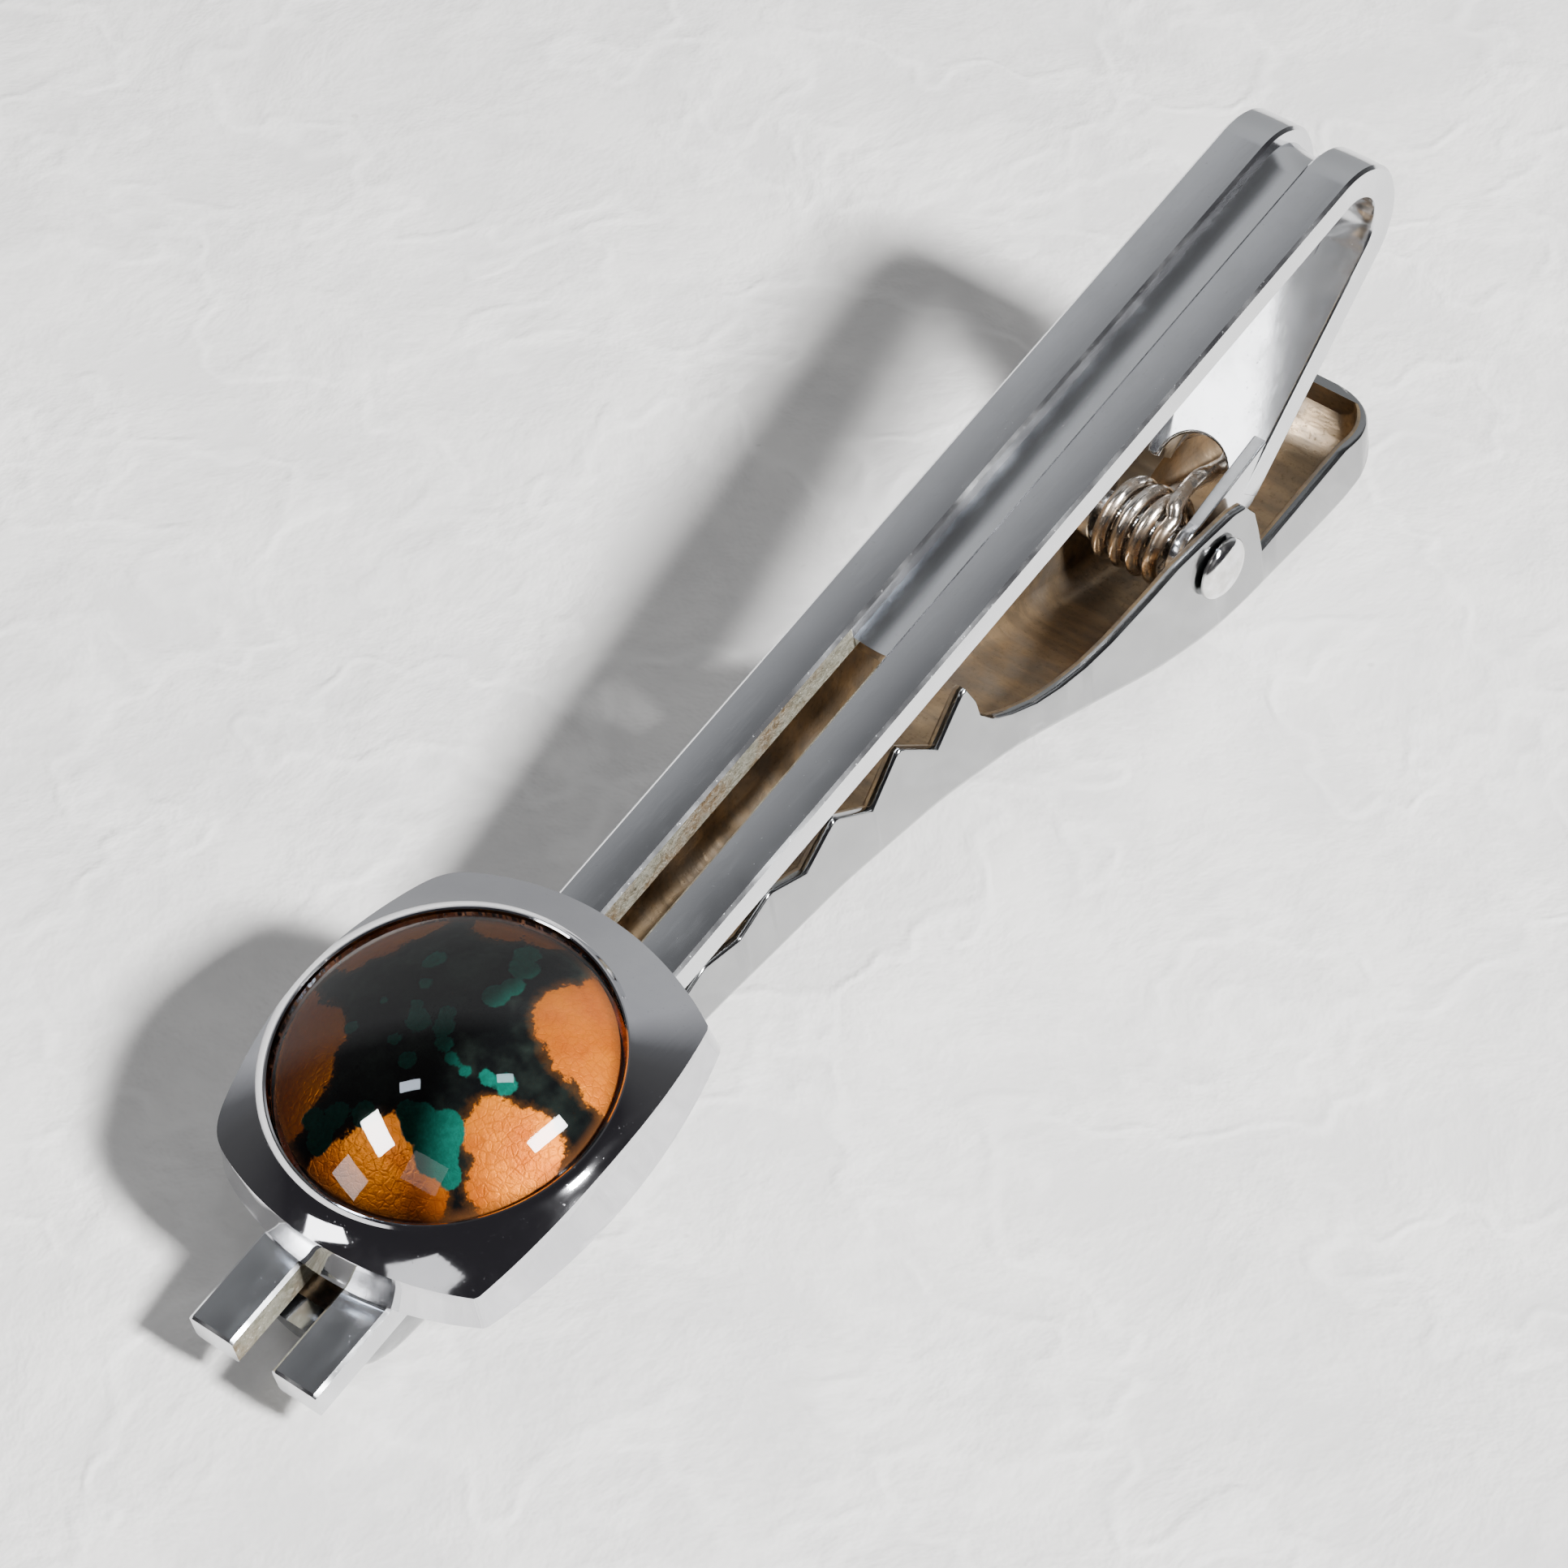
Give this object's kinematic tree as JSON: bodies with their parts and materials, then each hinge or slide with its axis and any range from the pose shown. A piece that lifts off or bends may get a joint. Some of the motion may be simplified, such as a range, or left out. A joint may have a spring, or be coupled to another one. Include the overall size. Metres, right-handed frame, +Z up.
{
  "type": "tie clip",
  "caption": "Slotted two-rail tie clip with a domed enamel stone in a cushion-shaped cup at its open end and a sprung, toothed jaw riveted behind the bar.",
  "frame": {"origin": "centre of the clip's bounding box in X and Y, on the table that it lies on", "axes": "+X along the clip from the stone's end to the bend, +Y across it, +Z up from the table; the bar slopes up 14.3 degrees towards the bend because the clip lies on its jaw"},
  "size_m": [0.0604, 0.013, 0.0171],
  "materials": {
    "bar_plating": "rhodium or nickel plate on brass, satin from wear, bright on the chamfered edges",
    "cup_plating": "mirror-polished plate on brass with fine scratches",
    "jaw_plating": "plated outside; tarnished to brown brass inside the trough",
    "rivet_steel": "domed heads, polished",
    "spring_steel": "hard-drawn round wire, browned",
    "solder": "dull, lumpy soft solder",
    "copper": "fired copper blank",
    "enamel": "fired enamel: black and green over copper orange",
    "clear_glass": "clear, glossy, domed",
    "cement": "set jeweller's cement"
  },
  "bodies": {
    "jaw": {"jaw": "jaw_plating", "pivot_spring": "spring_steel"},
    "bar": {"front_bar": "bar_plating", "solder_pad_near": "solder", "solder_pad_far": "solder", "back_plate": "cup_plating", "bezel": "cup_plating", "cement_bed": "cement", "copper_disc": "copper", "enamel_picture": "enamel", "clear_dome": "clear_glass", "pivot_rivet": "rivet_steel"}
  },
  "joints": [
    {"name": "jaw_opening", "type": "hinge", "parent": "jaw", "child": "bar", "pos_m": [0.01856, 0, 0.00414], "axis": [0, 1, 0], "range_deg": [0, 25], "stiffness_Nm_per_rad": 0.15, "springref_deg": -45.84, "deforming": ["pivot_spring"]}
  ]
}
